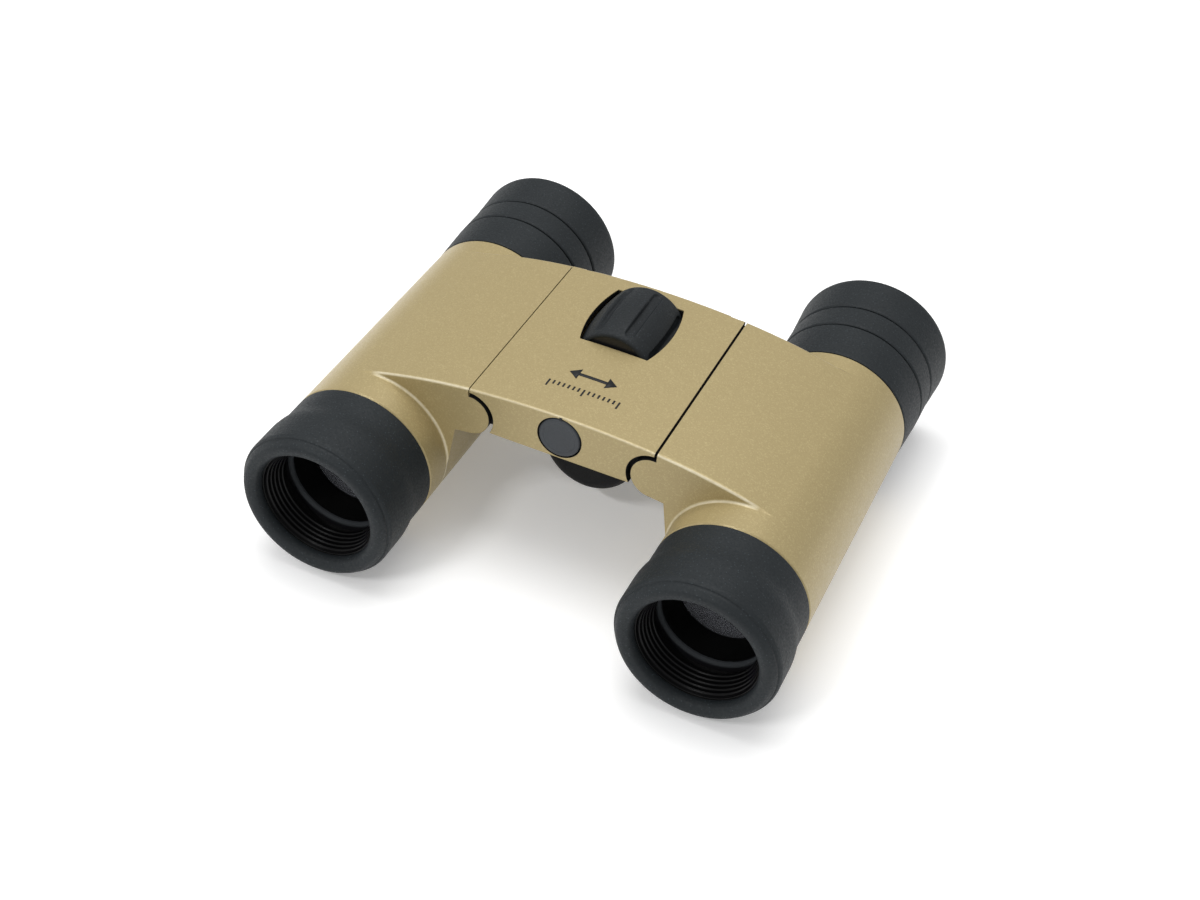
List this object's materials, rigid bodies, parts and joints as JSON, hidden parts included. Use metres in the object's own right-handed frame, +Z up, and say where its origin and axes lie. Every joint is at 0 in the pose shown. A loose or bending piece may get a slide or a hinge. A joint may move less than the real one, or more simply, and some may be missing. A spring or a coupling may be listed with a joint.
{
  "type": "binoculars",
  "caption": "Compact folding binoculars: two straight rubber-armoured barrels hinged to a flat painted bridge with a central focus wheel.",
  "frame": {"origin": "middle of the footprint on the surface that the unfolded barrels lie on", "axes": "+Z up, objectives towards -Y, eyepieces towards +Y, the user's left barrel on +X"},
  "size_m": [0.1028, 0.0963, 0.0382],
  "materials": {
    "gold_paint": "satin metallic champagne paint",
    "rubber": "matt fine-textured armour",
    "black_plastic": "moulded matt",
    "black_anodised": "black anodised, satin",
    "steel": "turned",
    "brass": "turned",
    "coated_glass": "coated lens",
    "prism_glass": "polished prism"
  },
  "bodies": {
    "bridge": {"bridge_shell": "gold_paint", "underside_cover": "black_plastic", "cover_screws": "steel", "front_cap": "black_plastic", "front_spindle_bush": "brass", "rear_spindle_bush": "brass", "hinge_pins": "steel"},
    "focus_wheel": {"focus_wheel_hub": "black_anodised", "focus_wheel_grip": "rubber", "focus_spindle": "steel", "spindle_circlip": "steel", "wheel_thrust_washer": "steel", "wheel_set_screw": "steel"},
    "focus_carriage": {"focus_nut": "brass", "focus_crossbar": "black_anodised", "drive_pins": "steel"},
    "left_barrel": {"left_body_shell": "gold_paint", "left_objective_armour": "rubber", "left_glare_baffle": "black_anodised", "left_prism_cage": "black_plastic", "left_half_penta_prism": "prism_glass", "left_roof_prism": "prism_glass", "left_prism_clip": "steel", "left_eyepiece_housing": "black_anodised", "left_field_stop": "black_anodised", "left_eyepiece_armour": "rubber", "left_eyecup": "rubber", "left_eyepiece_cell": "black_anodised", "left_field_lens": "coated_glass", "left_eye_lens": "coated_glass", "left_eye_lens_ring": "black_anodised", "left_trim_ring": "rubber"},
    "left_objective": {"left_objective_cell": "black_anodised", "left_objective_crown_lens": "coated_glass", "left_objective_flint_lens": "coated_glass", "left_objective_ring": "black_anodised"},
    "right_barrel": {"right_body_shell": "gold_paint", "right_objective_armour": "rubber", "right_glare_baffle": "black_anodised", "right_prism_cage": "black_plastic", "right_half_penta_prism": "prism_glass", "right_roof_prism": "prism_glass", "right_prism_clip": "steel", "right_eyepiece_housing": "black_anodised", "right_field_stop": "black_anodised", "right_eyepiece_armour": "rubber", "right_eyecup": "rubber"},
    "right_objective": {"right_objective_cell": "black_anodised", "right_objective_crown_lens": "coated_glass", "right_objective_flint_lens": "coated_glass", "right_objective_ring": "black_anodised"},
    "dioptre_adjuster": {"right_dioptre_ring": "rubber", "right_dioptre_collar": "black_anodised"},
    "right_eyepiece": {"right_eyepiece_cell": "black_anodised", "right_field_lens": "coated_glass", "right_eye_lens": "coated_glass", "right_eye_lens_ring": "black_anodised", "right_dioptre_pin": "steel"}
  },
  "joints": [
    {"name": "left_fold", "type": "hinge", "parent": "bridge", "child": "left_barrel", "pos_m": [0.0177, 0, 0.0281], "axis": [0, 1, 0], "range_deg": [0, 40]},
    {"name": "right_fold", "type": "hinge", "parent": "bridge", "child": "right_barrel", "pos_m": [-0.0177, 0, 0.0281], "axis": [0, -1, 0], "range_deg": [0, 40]},
    {"name": "focus_wheel_turn", "type": "hinge", "parent": "bridge", "child": "focus_wheel", "pos_m": [0, 0.006, 0.03005], "axis": [0, 1, 0], "range_deg": [-180, 180]},
    {"name": "focus_carriage_slide", "type": "slide", "parent": "bridge", "child": "focus_carriage", "axis": [0, 1, 0], "range_m": [-0.002, 0.002]},
    {"name": "left_objective_slide", "type": "slide", "parent": "left_barrel", "child": "left_objective", "axis": [0, 1, 0], "range_m": [-0.002, 0.002]},
    {"name": "right_objective_slide", "type": "slide", "parent": "right_barrel", "child": "right_objective", "axis": [0, 1, 0], "range_m": [-0.002, 0.002]},
    {"name": "dioptre_turn", "type": "hinge", "parent": "right_barrel", "child": "dioptre_adjuster", "pos_m": [-0.036, 0.035, 0.0154], "axis": [0, 1, 0], "range_deg": [-30, 30]},
    {"name": "right_eyepiece_slide", "type": "slide", "parent": "right_barrel", "child": "right_eyepiece", "axis": [0, 1, 0], "range_m": [-0.001, 0.001]}
  ],
  "couplings": [
    {"joint": "focus_wheel_turn", "follows": "focus_carriage_slide", "rad_per_m": 1570.8},
    {"joint": "left_objective_slide", "follows": "focus_carriage_slide", "ratio": 1},
    {"joint": "right_objective_slide", "follows": "focus_carriage_slide", "ratio": 1},
    {"joint": "dioptre_turn", "follows": "right_eyepiece_slide", "rad_per_m": 523.59}
  ]
}
